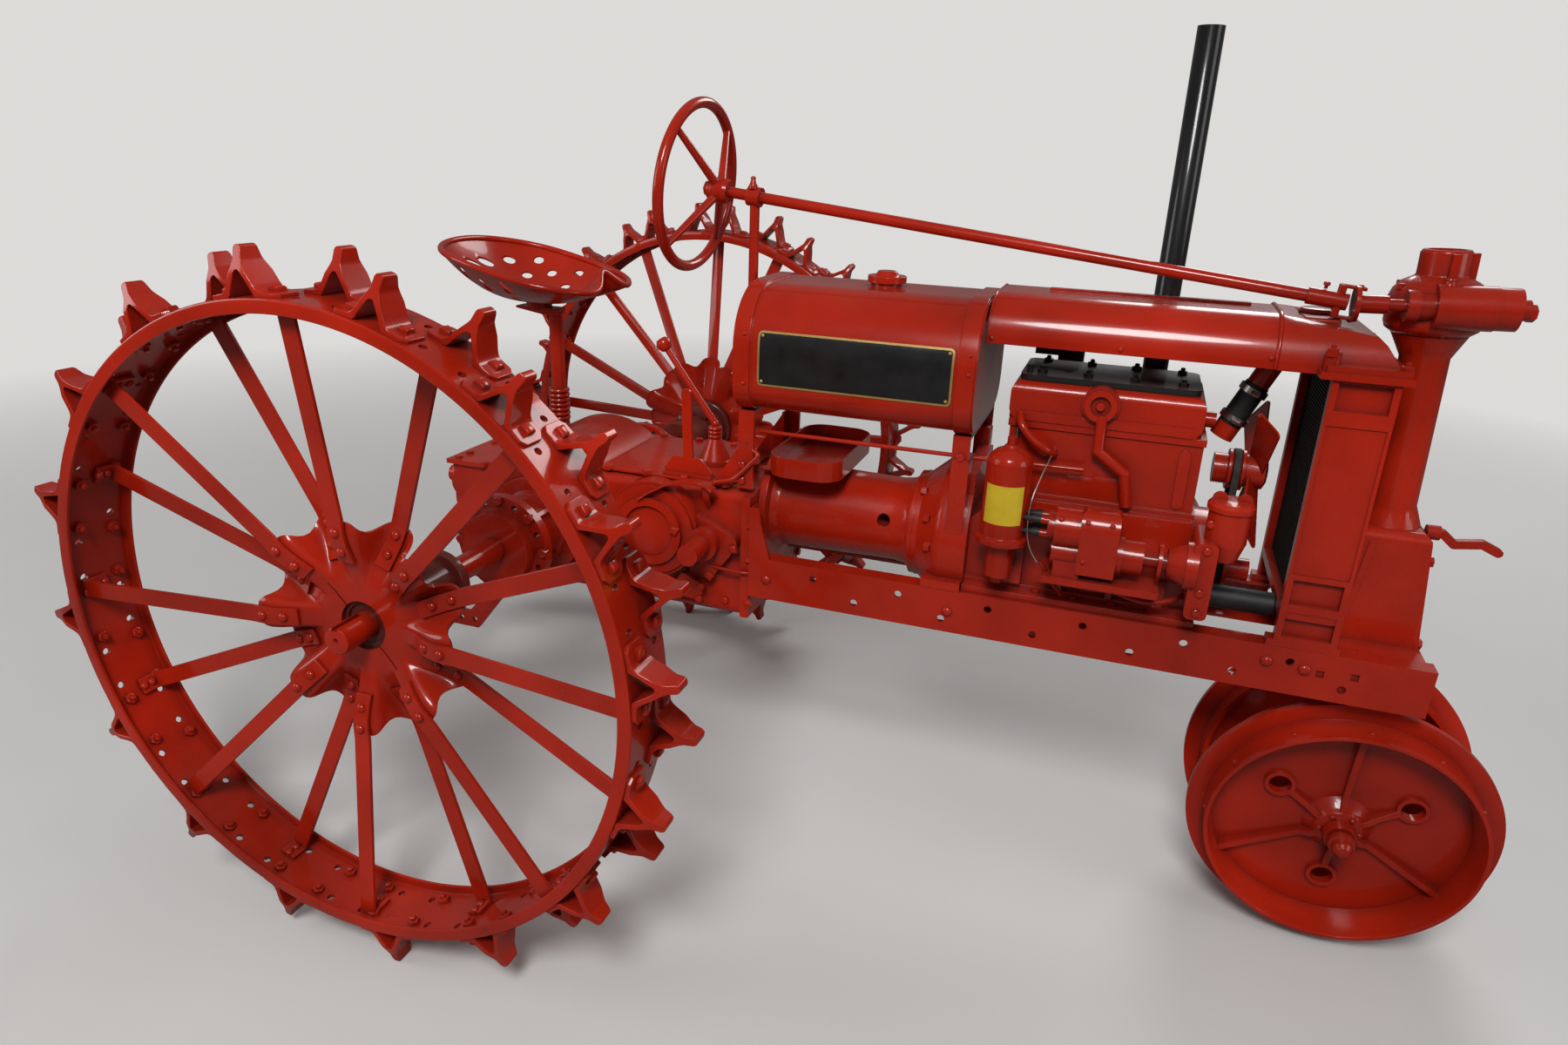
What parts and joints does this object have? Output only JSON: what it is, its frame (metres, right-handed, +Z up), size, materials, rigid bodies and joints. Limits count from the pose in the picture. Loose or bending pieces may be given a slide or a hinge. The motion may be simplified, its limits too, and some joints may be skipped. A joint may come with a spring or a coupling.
{
  "type": "row-crop tractor",
  "caption": "Early row-crop tractor on spoked steel wheels with folded plate lugs, narrow steered front wheels, open engine, fuel tank, pan seat and long steering rod.",
  "frame": {"origin": "on the floor, under the middle of the whole tractor", "axes": "+X points forward along the tractor, +Y to the driver's left, +Z up"},
  "size_m": [3.1258, 2.032, 2.0148],
  "materials": {
    "red_enamel": "glossy enamel brushed over castings and sheet steel",
    "red_enamel_sheet": "glossy enamel on sheet steel, with a plain black panel on each side of the tank",
    "red_enamel_wheel": "glossy enamel, with some orange peel and runs",
    "black_enamel": "glossy black enamel",
    "core_fins": "dull dark red over thin fins",
    "hose_rubber": "black hose",
    "filter_can": "glossy enamel with a plain yellow label"
  },
  "bodies": {
    "root": {"gearcase": "red_enamel", "gearcase_cover": "red_enamel_sheet", "rear_housing": "red_enamel", "drawbar": "red_enamel", "axle_housing_right": "red_enamel", "axle_housing_left": "red_enamel", "torque_tube": "red_enamel", "bell_housing": "red_enamel", "side_rail_right": "red_enamel", "side_rail_left": "red_enamel", "engine_block": "red_enamel", "cylinder_head": "red_enamel", "head_cover": "black_enamel", "oil_pan": "red_enamel", "oil_filter": "filter_can", "magneto": "red_enamel", "governor": "red_enamel", "manifold": "black_enamel", "exhaust_pipe": "black_enamel", "fan": "red_enamel", "hoses": "hose_rubber", "radiator_core": "core_fins", "radiator_frame": "red_enamel", "front_column": "red_enamel", "steering_gear": "red_enamel", "hand_crank": "red_enamel", "hood": "red_enamel_sheet", "fuel_tank": "red_enamel_sheet", "tank_mounts": "red_enamel", "tool_tray": "red_enamel", "controls": "red_enamel", "steering_post": "red_enamel", "seat": "red_enamel_sheet", "seat_support": "red_enamel"},
    "rear_wheel_right": {"rear_rim_right": "red_enamel_wheel", "rear_spokes_right": "red_enamel_wheel", "rear_hub_right": "red_enamel_wheel"},
    "rear_wheel_left": {"rear_rim_left": "red_enamel_wheel", "rear_spokes_left": "red_enamel_wheel", "rear_hub_left": "red_enamel_wheel"},
    "front_pivot": {"front_fork": "red_enamel"},
    "front_wheel_right_body": {"front_wheel_right": "red_enamel_wheel"},
    "front_wheel_left_body": {"front_wheel_left": "red_enamel_wheel"},
    "steering_wheel_body": {"steering_wheel": "red_enamel", "steering_rod": "red_enamel"},
    "worm_shaft_body": {"worm_shaft": "red_enamel"}
  },
  "joints": [
    {"name": "rear_wheel_right_spin", "type": "hinge", "parent": "root", "child": "rear_wheel_right", "pos_m": [-0.7901, -1.016, 0.7728], "axis": [0, 1, 0], "continuous": true},
    {"name": "rear_wheel_left_spin", "type": "hinge", "parent": "root", "child": "rear_wheel_left", "pos_m": [-0.7901, 1.016, 0.7728], "axis": [0, 1, 0], "continuous": true},
    {"name": "steering_pivot", "type": "hinge", "parent": "root", "child": "front_pivot", "pos_m": [1.2389, 0, 0.32306], "axis": [-0.0349, 0, 0.9994], "range_deg": [-75, 75]},
    {"name": "front_wheel_right_spin", "type": "hinge", "parent": "front_pivot", "child": "front_wheel_right_body", "pos_m": [1.2389, -0.12242, 0.32306], "axis": [0, 0.9945, 0.1045], "continuous": true},
    {"name": "front_wheel_left_spin", "type": "hinge", "parent": "front_pivot", "child": "front_wheel_left_body", "pos_m": [1.2389, 0.12242, 0.32306], "axis": [0, 0.9945, -0.1045], "continuous": true},
    {"name": "steering_wheel_turn", "type": "hinge", "parent": "root", "child": "steering_wheel_body", "pos_m": [-0.3721, 0, 1.6318], "axis": [0.9929, -0.0548, -0.1051], "range_deg": [-337.5, 337.5]},
    {"name": "worm_turn", "type": "hinge", "parent": "root", "child": "worm_shaft_body", "pos_m": [1.04032, -0.078, 1.48229], "axis": [0.9994, 0, 0.0349], "range_deg": [-337.5, 337.5]}
  ],
  "couplings": [
    {"joint": "steering_wheel_turn", "follows": "steering_pivot", "ratio": -4.5},
    {"joint": "worm_turn", "follows": "steering_pivot", "ratio": -4.5}
  ]
}
